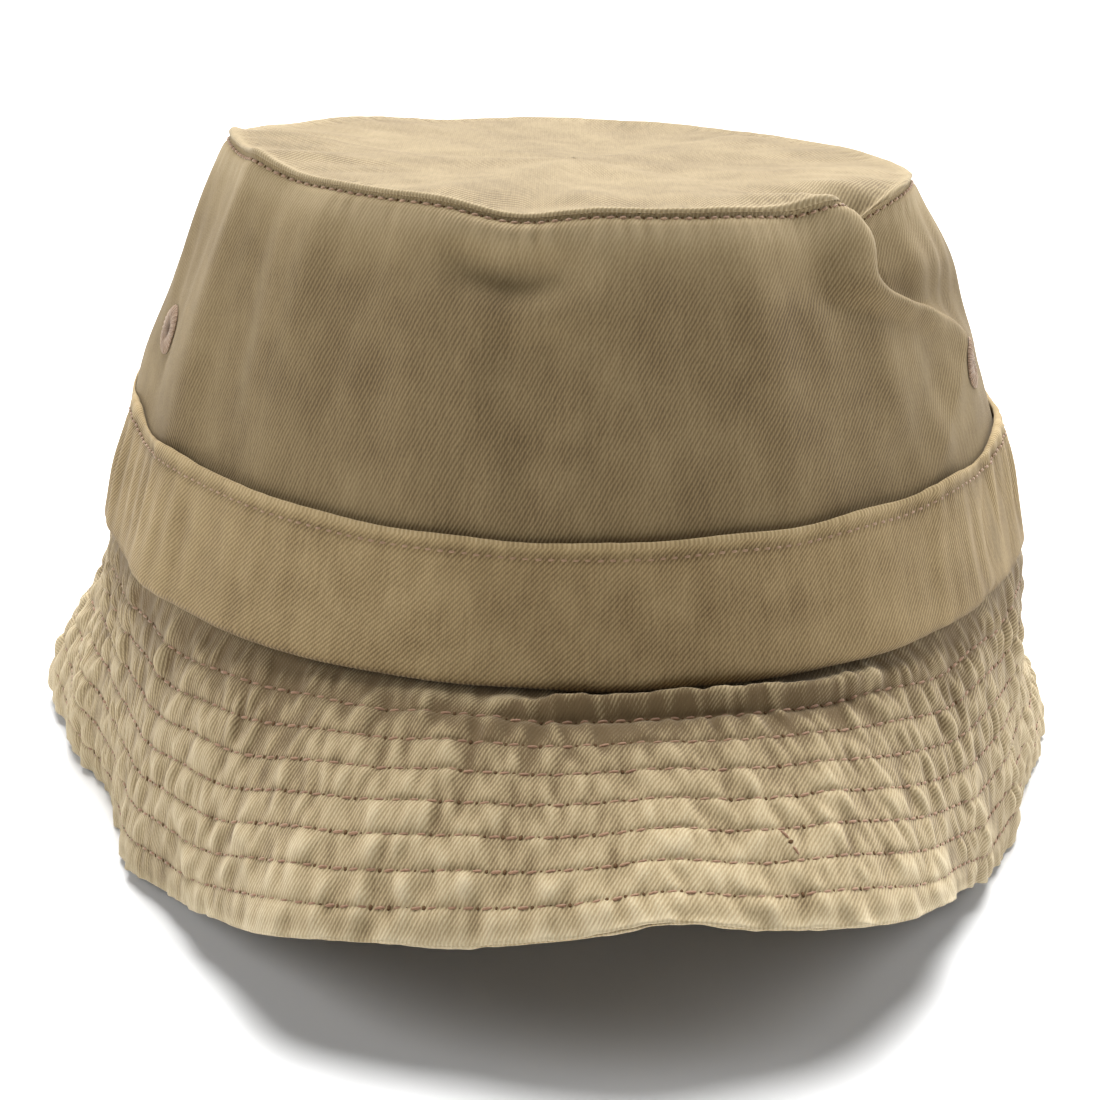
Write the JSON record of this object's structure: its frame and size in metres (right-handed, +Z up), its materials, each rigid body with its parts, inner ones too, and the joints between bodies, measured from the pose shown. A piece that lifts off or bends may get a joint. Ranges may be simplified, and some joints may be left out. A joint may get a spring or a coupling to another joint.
{
  "type": "bucket hat",
  "caption": "Soft bucket hat: flat oval crown top, tapered crown wall with vent eyelets, folded band and a drooping brim quilted with concentric stitch rows.",
  "frame": {"origin": "on the surface the hat stands on, under the middle of its outline", "axes": "+Z up, the hat's front towards -Y, +X to the right of someone looking at the front"},
  "size_m": [0.2214, 0.2796, 0.1284],
  "materials": {
    "crown_twill": "washed cotton twill, matt",
    "band_twill": "washed cotton twill, matt, folded double",
    "brim_twill": "washed cotton twill, matt, puckered between stitch rows",
    "interlining": "nonwoven, matt",
    "sweatband_twill": "plain cotton, matt",
    "seam_tape": "bias tape, matt",
    "topstitch_thread": "spun sewing thread, slight sheen",
    "eyelet_thread": "embroidery thread, slight sheen"
  },
  "bodies": {
    "root": {"crown_top": "crown_twill", "crown_side_front": "crown_twill", "crown_side_back": "crown_twill", "hat_band": "band_twill", "brim_upper_front": "brim_twill", "brim_upper_back": "brim_twill", "brim_under_front": "brim_twill", "brim_under_back": "brim_twill", "brim_interlining_front": "interlining", "brim_interlining_back": "interlining", "sweatband": "sweatband_twill", "crown_seam_tape": "seam_tape", "side_seam_tape_left": "seam_tape", "side_seam_tape_right": "seam_tape", "eyelet_left_front": "eyelet_thread", "eyelet_left_back": "eyelet_thread", "eyelet_right_front": "eyelet_thread", "eyelet_right_back": "eyelet_thread", "crown_seam_stitching": "topstitch_thread", "band_stitching": "topstitch_thread", "sweatband_stitching": "topstitch_thread", "brim_stitching_front": "topstitch_thread", "brim_stitching_back": "topstitch_thread"}
  },
  "joints": []
}
